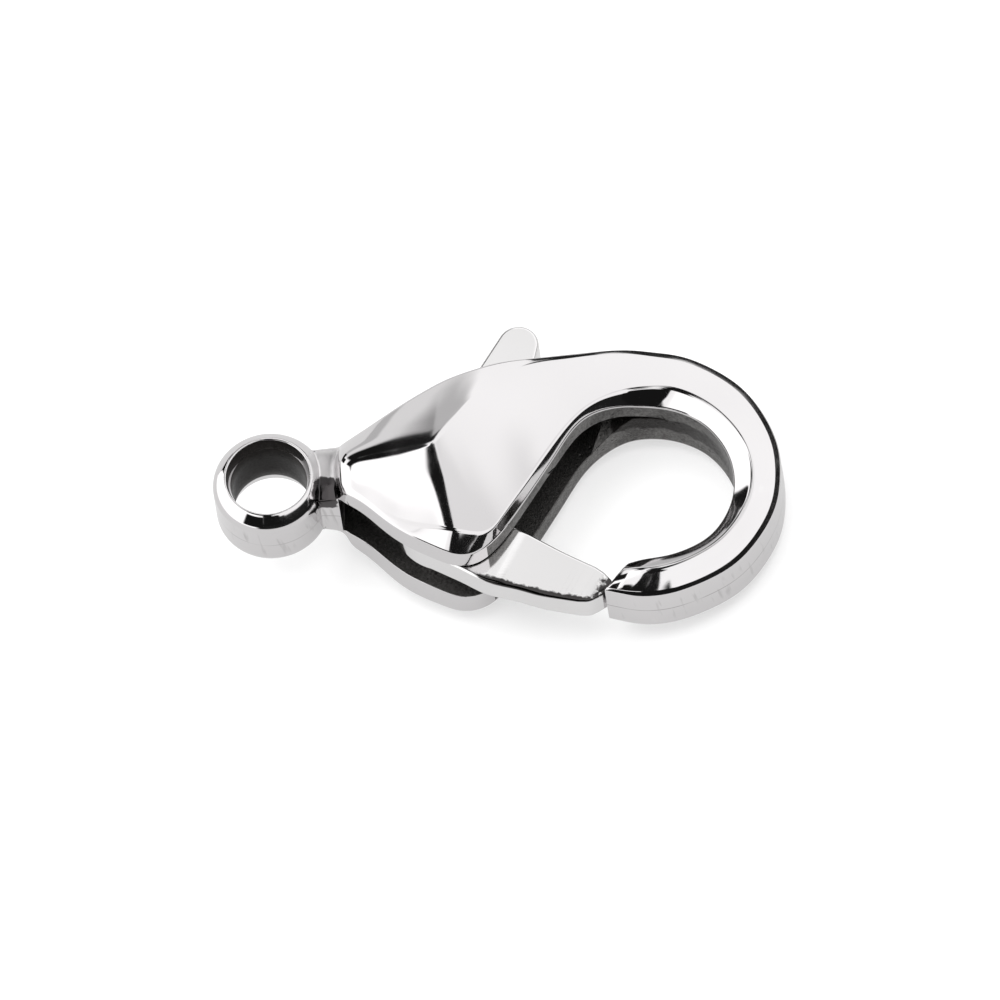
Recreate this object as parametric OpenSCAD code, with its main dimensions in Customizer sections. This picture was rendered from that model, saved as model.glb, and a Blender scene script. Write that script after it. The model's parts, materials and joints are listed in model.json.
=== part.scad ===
// Lobster clasp, about 10 mm long: a cast body with its ring and hook, a sprung lever and its pin.
// The origin is the centre of the ring's bore, and +Z is up as the clasp lies on a table.
// In the clasp's own flat frame +X runs from the ring to the hook, the hook's mouth faces -Y,
// and the body is alike above and below the middle plane.

/* [Body] */
// From the ring's centre to the centre of the hook's curve
hook_x = 6.45; // [6.1:0.05:7]
// Offset of the hook's centre to the mouth's side
hook_shift = 0.06; // [0:0.01:0.15]
// Outer radius of the hook
hook_r = 2.44; // [2.3:0.01:2.7]
// Half of the height at the belly's highest point
belly_half = 1.48; // [1.4:0.01:1.7]
// Half of the height of the hook at its ridge
hook_half = 0.8; // [0.7:0.01:0.9]
// Half of the height of the hook's outer wall
rim_half = 0.5; // [0.42:0.01:0.58]

/* [Ring] */
// Outer radius of the ring
ring_r = 0.98; // [0.92:0.01:1.1]
// Half of the height of the ring at its lip
ring_half = 0.7; // [0.6:0.01:0.74]
// Half of the height of the ring's outer wall
ring_wall_half = 0.51; // [0.4:0.01:0.56]
// Radius of the bore that takes the jump ring
bore_r = 0.64; // [0.5:0.01:0.68]
// How much the bore widens at each mouth
bore_flare = 0.09; // [0.04:0.01:0.12]
// Width of the flat lip round each mouth
lip_w = 0.04; // [0.02:0.01:0.08]

/* [Slot] */
// Thickness of each cheek at its thin front edge
cheek_t = 0.4; // [0.36:0.01:0.48]
// Depth of the slot from cheek to cheek
slot_h = 1.1; // [1.02:0.01:1.16]
// Thickness of the spine between the slot and the outside
spine_t = 0.6; // [0.5:0.01:0.75]

/* [Lever] */
// Place of the pin along the clasp
pin_x = 3.1; // [3:0.01:3.2]
// Place of the pin towards the mouth's side
pin_side = 0.65; // [0.6:0.01:0.72]
// Thickness of the lever
lever_t = 0.56; // [0.5:0.01:0.6]
// Radius of the lever's hub
hub_r = 0.93; // [0.82:0.01:0.96]
// Width of the gate at its root
gate_w = 1.04; // [0.95:0.01:1.08]
// How far the gate's tip drops towards the middle of the hook
gate_drop = 0.27; // [0.15:0.01:0.3]
// Chamfer along the gate's top edges
gate_bevel = 0.06; // [0.03:0.01:0.09]
// From the pin to the centre of the thumb tab's round end
tab_reach = 3.44; // [3.3:0.01:3.6]
// Direction of the thumb tab, from the clasp's length
tab_angle = 70; // [67:1:72]
// Radius of the thumb tab's round end
tab_r = 0.36; // [0.3:0.01:0.4]
// How far the lever opens, in degrees
lever_open = 28; // [20:1:30]

/* [Pin and spring] */
// Radius of the pin
pin_r = 0.3; // [0.25:0.01:0.34]
// Depth of the pin's seat in the top cheek
pin_seat = 0.4; // [0.3:0.01:0.45]
// Diameter of the spring's wire
wire_d = 0.14; // [0.1:0.01:0.15]
// Inner gap between the spring's coil and the pin
coil_gap = 0.12; // [0.08:0.01:0.2]

/* [Fits] */
// Running clearance round the pin
pin_gap = 0.03; // [0.02:0.005:0.05]
// Clearance between the lever and the cheek above it
lever_gap = 0.03; // [0.02:0.005:0.05]
// Clearance round the pin's ends in the body
seat_gap = 0.01; // [0.005:0.005:0.02]
// Gap between the gate's tip and the hook's tip
gate_gap = 0.05; // [0.03:0.01:0.08]
// Clearance of the spring from the slot's floor and the lever
coil_play = 0.03; // [0.02:0.01:0.05]

/* [Hidden] */
steel = "#c9c9cc";
spring_steel = "#9a9aa0";
pin = [pin_x, -pin_side];
hook_at = [hook_x, -hook_shift];
past = 0.4;
round_fn = 96;
pin_fn = 48;

// Sections of the belly from the ring to the hook. Lengths along x are shares of hook_x, lengths
// along y are shares of hook_r and heights are shares of belly_half.
// [far x, far y, far z,  knee x, knee y, knee z,  bevel x, bevel y, bevel z,  lip x, lip y, lip z]
BELLY = [
    [0.070, 0.26, 0.30, 0.070, 0.20, 0.36, 0.070, -0.08, 0.36, 0.070, -0.16, 0.30],
    [0.155, 0.28, 0.35, 0.155, 0.22, 0.45, 0.155, -0.05, 0.48, 0.155, -0.17, 0.38],
    [0.180, 0.275, 0.38, 0.177, 0.16, 0.53, 0.180, -0.10, 0.56, 0.188, -0.18, 0.50],
    [0.207, 0.29, 0.44, 0.192, 0.08, 0.71, 0.202, -0.15, 0.70, 0.212, -0.21, 0.66],
    [0.270, 0.37, 0.56, 0.262, 0.085, 0.80, 0.254, -0.25, 0.78, 0.256, -0.30, 0.745],
    [0.364, 0.53, 0.64, 0.357, 0.09, 0.88, 0.352, -0.48, 0.81, 0.357, -0.545, 0.775],
    [0.465, 0.69, 0.67, 0.451, 0.09, 1.00, 0.507, -0.555, 0.78, 0.488, -0.72, 0.72],
    [0.504, 0.74, 0.66, 0.462, 0.14, 0.99, 0.554, -0.57, 0.76, 0.543, -0.755, 0.68],
    [0.543, 0.78, 0.65, 0.484, 0.21, 0.95, 0.604, -0.61, 0.74, 0.595, -0.68, 0.67],
    [0.581, 0.82, 0.63, 0.519, 0.34, 0.90, 0.639, -0.46, 0.755, 0.636, -0.55, 0.655],
    [0.636, 0.865, 0.60, 0.574, 0.53, 0.80, 0.690, -0.23, 0.745, 0.690, -0.32, 0.64],
    [0.713, 0.91, 0.54, 0.664, 0.76, 0.65, 0.764, 0.115, 0.71, 0.767, 0.035, 0.625],
    [0.806, 0.96, 0.45, 0.770, 0.89, 0.50, 0.817, 0.34, 0.68, 0.822, 0.295, 0.61],
    [0.899, 0.99, 0.38, 0.880, 0.95, 0.42, 0.869, 0.485, 0.65, 0.871, 0.43, 0.56],
    [0.961, 0.995, 0.35, 0.953, 0.965, 0.38, 0.946, 0.608, 0.575, 0.944, 0.52, 0.45]
];
// The two big facets meet in a sharp ridge at this section
CREASE = 6;

// Sections of the hook, by angle round its centre
// [angle, outer radius, ridge radius, inner radius (shares of hook_r), ridge height (share of hook_half)]
HOOK = [
    [ 88, 1.004, 0.65, 0.55, 1.08],
    [ 70, 0.996, 0.705, 0.565, 1.01],
    [ 45, 0.996, 0.725, 0.60, 1.0],
    [ 20, 1.000, 0.775, 0.635, 1.0],
    [  0, 1.004, 0.815, 0.668, 1.0],
    [-20, 1.008, 0.828, 0.697, 1.0],
    [-45, 1.000, 0.828, 0.723, 1.0],
    [-70, 0.975, 0.811, 0.693, 0.98],
    [-88, 0.967, 0.80, 0.672, 0.95]
];
// Height of the inner wall as a share of hook_half, and the soft edge over the outer wall
inner_share = 0.74;
edge_in = 0.07;
edge_up = 0.05;

// The slanting end face of the hook's tip, from its outer to its inner corner
// [angle, radius (share of hook_r), height (share of rim_half)]
TIP = [
    [-104.7, 0.937, 1.0],
    [-103.9, 0.918, 1.06],
    [-98.0, 0.74, 1.12],
    [-95.8, 0.69, 1.0]
];

// Left alone, the clasp lies on the belly's peak and the far end of the hook
PEAK = BELLY[CREASE];
hook_end = hook_x + hook_r * HOOK[4][2];
rest_pitch = atan((belly_half - hook_half) / (hook_end - PEAK[3] * hook_x));
rest_roll = -1;

function polar(angle, share) = hook_at + share * hook_r * [cos(angle), sin(angle)];
function raised(p, z) = [p[0], p[1], z];
function belly_row(r) = [for (i = [0:3]) [
    r[3 * i] * hook_x,
    r[3 * i + 1] * hook_r,
    r[3 * i + 2] * belly_half
]];
function hook_row(r) = [
    raised(polar(r[0], r[1]), rim_half),
    raised(polar(r[0], r[1] - edge_in / hook_r), rim_half + edge_up),
    raised(polar(r[0], r[2]), hook_half * r[4]),
    raised(polar(r[0], r[3]), hook_half * inner_share)
];
function tip_row() = [for (r = TIP) raised(polar(r[0], r[1]), rim_half * r[2])];
ROWS = concat([for (r = BELLY) belly_row(r)], [for (r = HOOK) hook_row(r)], [tip_row()]);
LAST = len(ROWS) - 1;

// A smooth curve through one line of the rows. All lines but the far edge keep the crease.
function stops(i, line) = i == 0 || i == LAST || (i == CREASE && line > 0);
function before(i, line) = stops(i, line) ? 2 * ROWS[i][line] - ROWS[i + 1][line] : ROWS[i - 1][line];
function after(i, line) = stops(i, line) ? 2 * ROWS[i][line] - ROWS[i - 1][line] : ROWS[i + 1][line];
function curve(a, b, c, d, t) = b + 0.5 * t * (c - a)
    + t * t * (a - 2.5 * b + 2 * c - 0.5 * d) + 0.5 * t * t * t * (3 * b - 3 * c + d - a);
function between(i, t) = [for (line = [0:3])
    curve(before(i, line), ROWS[i][line], ROWS[i + 1][line], after(i + 1, line), t)];
STEPS = 4;
SECTIONS = concat(
    [for (i = [0:LAST - 1], j = [0:STEPS - 1]) between(i, j / STEPS)],
    [ROWS[LAST]]);

// One closed section: over the top from the far edge to the near one, and back underneath
function over(s) = [s[0], s[1], s[1] + (s[2] - s[1]) / 3, s[1] + (s[2] - s[1]) * 2 / 3, s[2], s[3]];
function under(line) = [for (i = [len(line) - 1:-1:0]) [line[i][0], line[i][1], -line[i][2]]];
function closed(s) = concat(over(s), under(over(s)));

// A solid through a list of closed sections that all have as many points
module loft(rings) {
    n = len(rings[0]);
    m = len(rings);
    points = [for (r = rings, p = r) p];
    sides = [for (i = [0:m - 2], j = [0:n - 1], k = [0:1])
        let (a = i * n + j, b = i * n + (j + 1) % n)
        k == 0 ? [a, b + n, b] : [a, a + n, b + n]];
    first = [for (j = [0:n - 1]) j];
    last = [for (j = [n - 1:-1:0]) (m - 1) * n + j];
    polyhedron(points, concat([first], sides, [last]), convexity = 8);
}

module belly_and_hook() {
    loft([for (s = SECTIONS) closed(s)]);
}

module ring_blank() {
    mouth = bore_r + bore_flare + lip_w;
    rotate_extrude($fn = round_fn)
        polygon([[0, -ring_half], [mouth, -ring_half], [ring_r, -ring_wall_half],
            [ring_r, ring_wall_half], [mouth, ring_half], [0, ring_half]]);
}

module ring_bore() {
    straight = ring_half / 2;
    mouth = bore_r + bore_flare;
    rotate_extrude($fn = round_fn)
        polygon([[0, -ring_half - past], [mouth, -ring_half - past], [mouth, -ring_half],
            [bore_r, -straight], [bore_r, straight],
            [mouth, ring_half], [mouth, ring_half + past], [0, ring_half + past]]);
}

// The cheek's front corner sets the slot's ceiling, and the lever hangs just under that
front_corner = BELLY[CREASE + 1];
slot_top = front_corner[11] * belly_half - cheek_t;
slot_floor = slot_top - slot_h;
lever_top = slot_top - lever_gap;
lever_low = lever_top - lever_t;
tab_at = pin + tab_reach * [cos(tab_angle), sin(tab_angle)];

// Plan of the slot: open along the near side, round the hook's mouth and at the tab's window
module slot_plan() {
    wide = 2 * hook_r;
    back = hook_r - hook_shift - spine_t;
    left = 0.19 * hook_x;
    corner = 0.72 * hook_x;
    right = 1.06 * hook_x;
    window_left = 0.27 * hook_x;
    window_right = tab_at[0] + tab_r + 0.12;
    polygon([[left, -wide], [corner, -wide], [corner, -0.5 * hook_r], [right, 0],
        [right, 0.75 * back], [0.97 * right, 0.9 * back], [0.9 * right, back],
        [window_right, back], [window_right, wide], [window_left, wide],
        [window_left, 0.3 * hook_r], [left, 0.1 * hook_r]]);
}

// Side view of the slot, which thins out to a shallow groove in the hook
module slot_side() {
    groove = 0.3 * slot_top;
    polygon([[0, slot_floor], [0.85 * hook_x, slot_floor], [0.9 * hook_x, 0.5 * slot_floor],
        [0.97 * hook_x, groove], [1.06 * hook_x, groove], [0.97 * hook_x, 1.4 * groove],
        [0.87 * hook_x, 0.7 * slot_top], [0.75 * hook_x, slot_top], [0, slot_top]]);
}

module lever_slot() {
    wide = 2 * hook_r;
    intersection() {
        translate([0, 0, -belly_half]) linear_extrude(2 * belly_half) slot_plan();
        translate([0, wide, 0]) rotate([90, 0, 0]) linear_extrude(2 * wide) slot_side();
    }
}

module pin_hole() {
    translate([pin[0], pin[1], -2 * belly_half])
        cylinder(h = 2 * belly_half + slot_top + pin_seat, r = pin_r + seat_gap, $fn = pin_fn);
}

module body_flat() {
    difference() {
        union() {
            ring_blank();
            belly_and_hook();
        }
        ring_bore();
        lever_slot();
        pin_hole();
    }
}

// The gate runs from the pin to the middle of the tip's end face
tip_mid = (polar(TIP[0][0], TIP[0][1]) + polar(TIP[3][0], TIP[3][1])) / 2;
gate_run = norm(tip_mid - pin);
gate_dir = (tip_mid - pin) / gate_run;
gate_out = [gate_dir[1], -gate_dir[0]];
nose = 1 - (gate_gap + 0.03) / gate_run;
// [share of the run, outer and inner offset as shares of gate_w, share of gate_drop]
GATE = [
    [0.08, 0.80, -0.45, 0],
    [0.21, 0.92, -0.35, 0],
    [0.38, 0.96, -0.155, 0],
    [0.55, 0.85, -0.13, 0.3],
    [0.66, 0.79, -0.115, 0.5],
    [0.76, 0.70, -0.115, 0.7],
    [0.86, 0.60, -0.12, 0.9],
    [0.91, 0.515, -0.09, 1],
    [0.94, 0.40, -0.05, 1],
    [nose, 0.22, 0.0, 1]
];
function gate_point(row, off, z) = raised(pin + row[0] * gate_run * gate_dir + off * gate_out, z);
function gate_section(row) =
    let (out = row[1] * gate_w, in = row[2] * gate_w, top = lever_top - row[3] * gate_drop,
        low = top - lever_t, soft = gate_bevel / 2)
    [gate_point(row, in, low), gate_point(row, in, top - soft), gate_point(row, in + soft, top),
        gate_point(row, out - gate_bevel, top), gate_point(row, out, top - gate_bevel),
        gate_point(row, out, low)];

// The hub and the tab's round end, with straight sides that touch both
function rim(centre, r, angle) = centre + r * [cos(angle), sin(angle)];
touch = acos((hub_r - tab_r) / tab_reach);
module lever_plan() {
    translate(pin) circle(hub_r, $fn = round_fn);
    translate(tab_at) circle(tab_r, $fn = pin_fn);
    polygon([rim(pin, hub_r, tab_angle + touch), rim(tab_at, tab_r, tab_angle + touch),
        rim(tab_at, tab_r, tab_angle - touch), rim(pin, hub_r, tab_angle - touch)]);
}

module lever_flat() {
    difference() {
        union() {
            translate([0, 0, lever_low]) linear_extrude(lever_t) lever_plan();
            loft([for (row = GATE) gate_section(row)]);
        }
        translate([pin[0], pin[1], lever_low - past])
            cylinder(h = lever_t + 2 * past, r = pin_r + pin_gap, $fn = pin_fn);
    }
}

// The pin is ground off flush with the lower cheek, and its other end is blind in the upper one
module pivot_pin_flat() {
    intersection() {
        translate([pin[0], pin[1], -2 * belly_half])
            cylinder(h = 2 * belly_half + slot_top + pin_seat - seat_gap, r = pin_r, $fn = pin_fn);
        belly_and_hook();
    }
}

// The spring winds round the pin under the lever, with one leg to the neck and one under the gate
coil_r = pin_r + coil_gap + wire_d / 2;
coil_low = slot_floor + coil_play + wire_d / 2;
coil_high = lever_low - coil_play - wire_d / 2;
COIL_START = -130;
COIL_TURNS = 2;
COIL_SIDES = 8;
COIL_STEP = 15;
fixed_leg = 1.5;
free_leg = 0.95;
function coil_z(turn) = coil_low + (coil_high - coil_low) * turn / (360 * COIL_TURNS);
function coil_point(turn) = let (a = COIL_START + turn)
    [pin[0] + coil_r * cos(a), pin[1] + coil_r * sin(a), coil_z(turn)];
function tangent(turn) = let (a = COIL_START + turn) [-sin(a), cos(a), 0];
wire_path = concat(
    [for (s = [1, 0.5]) coil_point(0) - s * fixed_leg * tangent(0)],
    [for (turn = [0:COIL_STEP:360 * COIL_TURNS]) coil_point(turn)],
    [for (s = [0.5, 1]) coil_point(360 * COIL_TURNS) + s * free_leg * tangent(360 * COIL_TURNS)]);
function heading(i) = let (d = wire_path[min(i + 1, len(wire_path) - 1)] - wire_path[max(i - 1, 0)])
    [d[0], d[1]] / norm([d[0], d[1]]);
function wire_ring(i) = [for (k = [0:COIL_SIDES - 1])
    let (a = 360 * k / COIL_SIDES, h = heading(i))
    wire_path[i] + wire_d / 2 * [-cos(a) * h[1], cos(a) * h[0], sin(a)]];

module spring_flat() {
    loft([for (i = [0:len(wire_path) - 1]) wire_ring(i)]);
}

// Turns the flat frame into the way the clasp lies on a table
module resting() {
    rotate([rest_roll, rest_pitch, 0]) children();
}

module body() {
    color(steel) resting() body_flat();
}

module lever() {
    color(steel) resting() lever_flat();
}

module pivot_pin() {
    color(steel) resting() pivot_pin_flat();
}

module spring() {
    color(spring_steel) resting() spring_flat();
}

body();
lever();
pivot_pin();
spring();
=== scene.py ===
# %% [markdown]
# # A lobster clasp in polished steel
#
# A lobster clasp closes a necklace or a bracelet. A cast body holds a ring for the chain's end, a
# fat hollow belly and a hook, and a flat lever turns in the belly on a pin, pushed shut by a small
# spring. The model comes in with its real sizes, and here it gets its looks: rounded edges, a
# polished finish outside, rough cast metal inside, and soft studio light.
#
# The frame is loaded first. Its box is kept, and its lowest point sets the floor's height.

# %% Open the frame
import json
import math

import bmesh
import bpy
from mathutils import Matrix, Vector

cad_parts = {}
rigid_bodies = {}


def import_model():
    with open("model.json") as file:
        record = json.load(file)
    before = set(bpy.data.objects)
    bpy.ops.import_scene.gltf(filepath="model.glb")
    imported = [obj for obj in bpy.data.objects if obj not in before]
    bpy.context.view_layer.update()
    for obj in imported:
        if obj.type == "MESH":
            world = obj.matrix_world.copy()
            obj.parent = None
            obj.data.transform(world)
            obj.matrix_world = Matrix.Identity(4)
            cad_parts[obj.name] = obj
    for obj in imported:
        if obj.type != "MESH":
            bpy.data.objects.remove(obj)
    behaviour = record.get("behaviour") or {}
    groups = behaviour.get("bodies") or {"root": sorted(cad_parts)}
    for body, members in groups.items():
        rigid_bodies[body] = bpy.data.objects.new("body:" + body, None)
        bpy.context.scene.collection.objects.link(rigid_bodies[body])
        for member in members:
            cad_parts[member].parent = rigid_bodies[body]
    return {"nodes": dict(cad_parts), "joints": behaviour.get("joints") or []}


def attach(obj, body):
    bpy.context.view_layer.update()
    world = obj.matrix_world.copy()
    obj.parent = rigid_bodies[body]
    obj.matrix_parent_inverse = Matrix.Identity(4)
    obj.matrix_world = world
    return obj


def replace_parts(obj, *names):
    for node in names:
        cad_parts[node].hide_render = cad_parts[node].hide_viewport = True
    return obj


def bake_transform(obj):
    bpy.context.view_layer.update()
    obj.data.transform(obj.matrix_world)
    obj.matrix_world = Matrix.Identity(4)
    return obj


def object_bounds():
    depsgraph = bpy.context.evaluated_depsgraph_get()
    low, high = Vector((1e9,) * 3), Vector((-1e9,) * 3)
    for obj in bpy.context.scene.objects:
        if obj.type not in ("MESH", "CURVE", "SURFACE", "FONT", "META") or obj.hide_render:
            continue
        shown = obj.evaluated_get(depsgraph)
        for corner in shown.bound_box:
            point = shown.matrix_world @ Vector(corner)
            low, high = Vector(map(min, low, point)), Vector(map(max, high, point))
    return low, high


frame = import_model()
cad_low, cad_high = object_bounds()
print("frame box in mm:", [round(1000 * (h - l), 2) for l, h in zip(cad_low, cad_high)])

# %% [markdown]
# ## The clasp's own frame
#
# The clasp lies on a table on its belly, so its middle plane leans a few degrees. All its shapes
# are easier to describe flat: x from the ring to the hook, y away from the mouth, z out of the
# plane, in millimetres from the centre of the ring's bore. The lever's axis is square to that
# plane, so the lean can be read from the frame's joint. Shapes are made flat, and one matrix then
# lays them into place in metres.

# %% Lay flat shapes into place
# A millimetre in metres
MM = 0.001
joint = frame["joints"][0]
axis = Vector(joint["axis"]).normalized()
lean_pitch = math.atan2(axis.x, axis.z)
lean_roll = -math.asin(axis.y)
LEAN = Matrix.Rotation(lean_pitch, 4, "Y") @ Matrix.Rotation(lean_roll, 4, "X")
TO_FRAME = LEAN @ Matrix.Scale(MM, 4)
pin = TO_FRAME.inverted() @ Vector(joint["pos_m"])
print("lean in degrees:", round(math.degrees(lean_pitch), 2), round(math.degrees(lean_roll), 2))
print("pin at", [round(c, 3) for c in pin])

# %% [markdown]
# ## Sizes
#
# These are the clasp's main sizes in millimetres: "half" is a height above the middle plane, "r"
# a radius and "t" a thickness. Everything else is worked out from them, as shares of the size
# that it follows. Moving parts have a little play between them.

# %% Main sizes
hook_at = Vector((6.45, -0.06, 0))
hook_r = 2.44
belly_half = 1.48
hook_half = 0.8
rim_half = 0.5
ring_r = 0.98
ring_half = 0.7
ring_wall_half = 0.51
bore_r = 0.64
bore_flare = 0.09
lip_w = 0.04
slot_top = 0.606
slot_floor = slot_top - 1.1
spine_t = 0.6
play = 0.03
lever_top = slot_top - play
lever_t = 0.56
hub_r = 0.93
gate_w = 1.04
gate_drop = 0.27
gate_gap = 0.05
tab_reach = 3.44
tab_angle = 70
tab_r = 0.36
pin_r = 0.3
pin_fit = 0.01
seat_depth = 0.4
wire_r = 0.07
wire_room = 0.12

# %% [markdown]
# ## Sections of the body
#
# The belly is cut from big facets that meet in soft ridges, and the hook is a bent bar with a
# sloping top. A surface like that is easy to loft: four lines run along it from the ring to the
# hook's tip, and each table row says where they pass. The far line is the outer edge, the knee is
# the ridge between the facets, the bevel is the edge over the mouth, and the lip is the top of
# the wall below it. A smooth curve through the rows gives as many sections as the mesh needs.

# %% Rows of the belly and the hook
# Along x in shares of the hook's x, along y in shares of hook_r, heights in shares of belly_half:
# [far x, far y, far z,  knee x, knee y, knee z,  bevel x, bevel y, bevel z,  lip x, lip y, lip z]
BELLY = [
    [0.070, 0.26, 0.30, 0.070, 0.20, 0.36, 0.070, -0.08, 0.36, 0.070, -0.16, 0.30],
    [0.160, 0.28, 0.33, 0.160, 0.20, 0.395, 0.160, -0.06, 0.41, 0.160, -0.17, 0.35],
    [0.186, 0.28, 0.36, 0.183, 0.13, 0.45, 0.187, -0.10, 0.46, 0.193, -0.175, 0.41],
    [0.207, 0.29, 0.44, 0.194, 0.075, 0.72, 0.201, -0.147, 0.69, 0.208, -0.21, 0.64],
    [0.270, 0.37, 0.56, 0.262, 0.085, 0.798, 0.253, -0.232, 0.727, 0.256, -0.287, 0.70],
    [0.364, 0.53, 0.64, 0.357, 0.085, 0.894, 0.351, -0.470, 0.779, 0.357, -0.537, 0.75],
    [0.465, 0.69, 0.67, 0.451, 0.094, 0.99, 0.509, -0.587, 0.878, 0.488, -0.72, 0.72],
    [0.504, 0.74, 0.66, 0.462, 0.14, 0.98, 0.555, -0.592, 0.829, 0.543, -0.755, 0.68],
    [0.543, 0.78, 0.65, 0.484, 0.21, 0.95, 0.605, -0.631, 0.805, 0.595, -0.68, 0.67],
    [0.581, 0.82, 0.63, 0.519, 0.34, 0.90, 0.639, -0.472, 0.79, 0.636, -0.55, 0.655],
    [0.636, 0.865, 0.60, 0.574, 0.53, 0.80, 0.690, -0.23, 0.745, 0.690, -0.32, 0.64],
    [0.713, 0.91, 0.505, 0.664, 0.76, 0.65, 0.764, 0.115, 0.71, 0.767, 0.035, 0.625],
    [0.806, 0.965, 0.405, 0.778, 0.885, 0.487, 0.817, 0.34, 0.68, 0.822, 0.295, 0.61],
    [0.899, 1.00, 0.36, 0.880, 0.950, 0.405, 0.869, 0.485, 0.65, 0.871, 0.43, 0.56],
    [0.961, 1.01, 0.34, 0.951, 0.970, 0.376, 0.946, 0.608, 0.575, 0.944, 0.52, 0.45],
]
CREASE = 6
CORNER = 8
# [angle, outer radius, ridge radius, inner radius (shares of hook_r), ridge height and inner
# height (of hook_half), slope of the rim in degrees]
HOOK = [
    [88, 1.019, 0.65, 0.55, 1.08, 0.74, 28],
    [70, 1.012, 0.705, 0.565, 1.01, 0.74, 28],
    [45, 1.006, 0.725, 0.60, 1.0, 0.74, 31],
    [20, 1.004, 0.775, 0.635, 1.0, 0.74, 36.5],
    [0, 1.004, 0.815, 0.668, 1.0, 0.74, 42],
    [-20, 1.008, 0.828, 0.697, 1.0, 0.72, 46],
    [-45, 1.000, 0.828, 0.723, 1.0, 0.787, 48],
    [-70, 0.975, 0.811, 0.693, 0.98, 0.773, 48],
    [-88, 0.967, 0.80, 0.672, 0.95, 0.74, 49],
]
# The slanting end of the tip: [angle, radius (share of hook_r), height (share of rim_half)]
TIP = [
    [-104.7, 0.937, 1.0],
    [-103.9, 0.915, 1.08],
    [-98.0, 0.74, 1.12],
    [-95.8, 0.69, 1.0],
]
# The rim's width, and its mean and its swing round the hook as shares of it
rim_w = 0.12
RIM_MEAN, RIM_SWING = 0.8, 0.3


def polar(angle, share, z=0.0):
    """A point of the hook, by angle round its centre and share of its outer radius."""
    a = math.radians(angle)
    return hook_at + Vector((share * hook_r * math.cos(a), share * hook_r * math.sin(a), z))


def belly_row(row):
    size = (hook_at.x, hook_r, belly_half)
    return [Vector([row[3 * i + k] * size[k] for k in range(3)]) for i in range(4)]


def hook_row(angle, outer, ridge, inner, high, inner_high, slope):
    """Four corners of the hook. Its rim is wide at the back and narrow at the front."""
    w = rim_w * (RIM_MEAN + RIM_SWING * math.sin(math.radians(angle)))
    return [
        polar(angle, outer, rim_half),
        polar(angle, outer - w / hook_r, rim_half + w * math.tan(math.radians(slope))),
        polar(angle, ridge, hook_half * high),
        polar(angle, inner, hook_half * inner_high),
    ]


rows = [belly_row(r) for r in BELLY] + [hook_row(*r) for r in HOOK]
rows.append([polar(a, share, rim_half * high) for a, share, high in TIP])
print("rows:", len(rows))

# %% [markdown]
# The curve through the rows is a Catmull-Rom curve. It may not swing round the crease, where the
# two big facets meet, so there it stops and starts again. More sections run just before the
# crease, because it gets a rounding of its own.

# %% Curve the four lines
STEPS = 10
STEPS_AT_CREASE = 30
steps = [STEPS_AT_CREASE if r == CREASE - 1 else STEPS for r in range(len(rows) - 1)]
crease_at = sum(steps[:CREASE])
corner_at = sum(steps[:CORNER])


def curve(a, b, c, d, t):
    """The point at t between b and c."""
    return (b + 0.5 * t * (c - a) + t * t * (a - 2.5 * b + 2 * c - 0.5 * d)
            + 0.5 * t ** 3 * (3 * b - 3 * c + d - a))


def curved(points, stops, steps):
    """A smooth line through the points, which turns sharply only at the stops."""
    out = []
    for i in range(len(points) - 1):
        b, c = points[i], points[i + 1]
        a = 2 * b - c if i in stops else points[i - 1]
        d = 2 * c - b if i + 1 in stops else points[i + 2]
        out += [curve(a, b, c, d, j / steps[i]) for j in range(steps[i])]
    return out + [points[-1].copy()]


last = len(rows) - 1
lines = []
for number in range(4):
    stops = {0, last} if number == 0 else {0, CREASE, last}
    lines.append(curved([row[number] for row in rows], stops, steps))
print("sections:", len(lines[0]))

# %% [markdown]
# A polished facet shows every small wave, and a table of rows is never quite even. Each point is
# therefore moved to the mean of the line around it, weighted by distance. Each part is first
# smoothed with its ends held. Then a narrow pass over the whole line rounds the crease, as a
# polishing wheel does.

# %% Smooth the lines
# Width of the smoothing in mm at each row: the neck, the belly, the turn and the hook
WIDTHS = [0.04, 0.03, 0.025, 0.06,
          0.24, 0.28, 0.28, 0.28, 0.28,
          0.26, 0.22, 0.18,
          0.18, 0.20, 0.22]
CREASE_WIDTH = 0.17
# How many points to each side are weighed
REACH = 60


def smoothed(line, widths):
    """Each point becomes the weighted mean of its neighbours. The two ends stay."""
    n = len(line)
    more = min(n - 1, REACH)
    before = [2 * line[0] - line[k] for k in range(more, 0, -1)]
    after = [2 * line[-1] - line[-1 - k] for k in range(1, more + 1)]
    long_line = before + line + after
    way = [0.0]
    for a, b in zip(long_line, long_line[1:]):
        way.append(way[-1] + (b - a).length)
    out = []
    for i in range(more, more + n):
        total, weight = Vector((0, 0, 0)), 0.0
        for j in range(max(1, i - REACH), min(len(long_line) - 1, i + REACH + 1)):
            far = (way[j] - way[i]) / widths[i - more]
            share = math.exp(-far * far) * (way[j + 1] - way[j - 1])
            total += share * long_line[j]
            weight += share
        out.append(total / weight)
    out[0], out[-1] = line[0].copy(), line[-1].copy()
    return out


def width_at(i):
    """The width of the smoothing at a section."""
    row = 0
    while row < len(steps) and i >= steps[row]:
        i -= steps[row]
        row += 1
    near = WIDTHS[min(row, len(WIDTHS) - 1)]
    next_one = WIDTHS[min(row + 1, len(WIDTHS) - 1)]
    return near + (next_one - near) * (i / steps[row] if row < len(steps) else 0)


widths = [width_at(i) for i in range(len(lines[0]))]
lines[0] = smoothed(lines[0], widths)
for number in (1, 2, 3):
    line = lines[number]
    first = smoothed(line[:crease_at + 1], widths[:crease_at + 1])
    second = smoothed(line[crease_at:], widths[crease_at:])
    lines[number] = smoothed(first + second[1:], [CREASE_WIDTH] * len(line))
print("widths from", min(widths), "to", max(widths), "mm")
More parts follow.
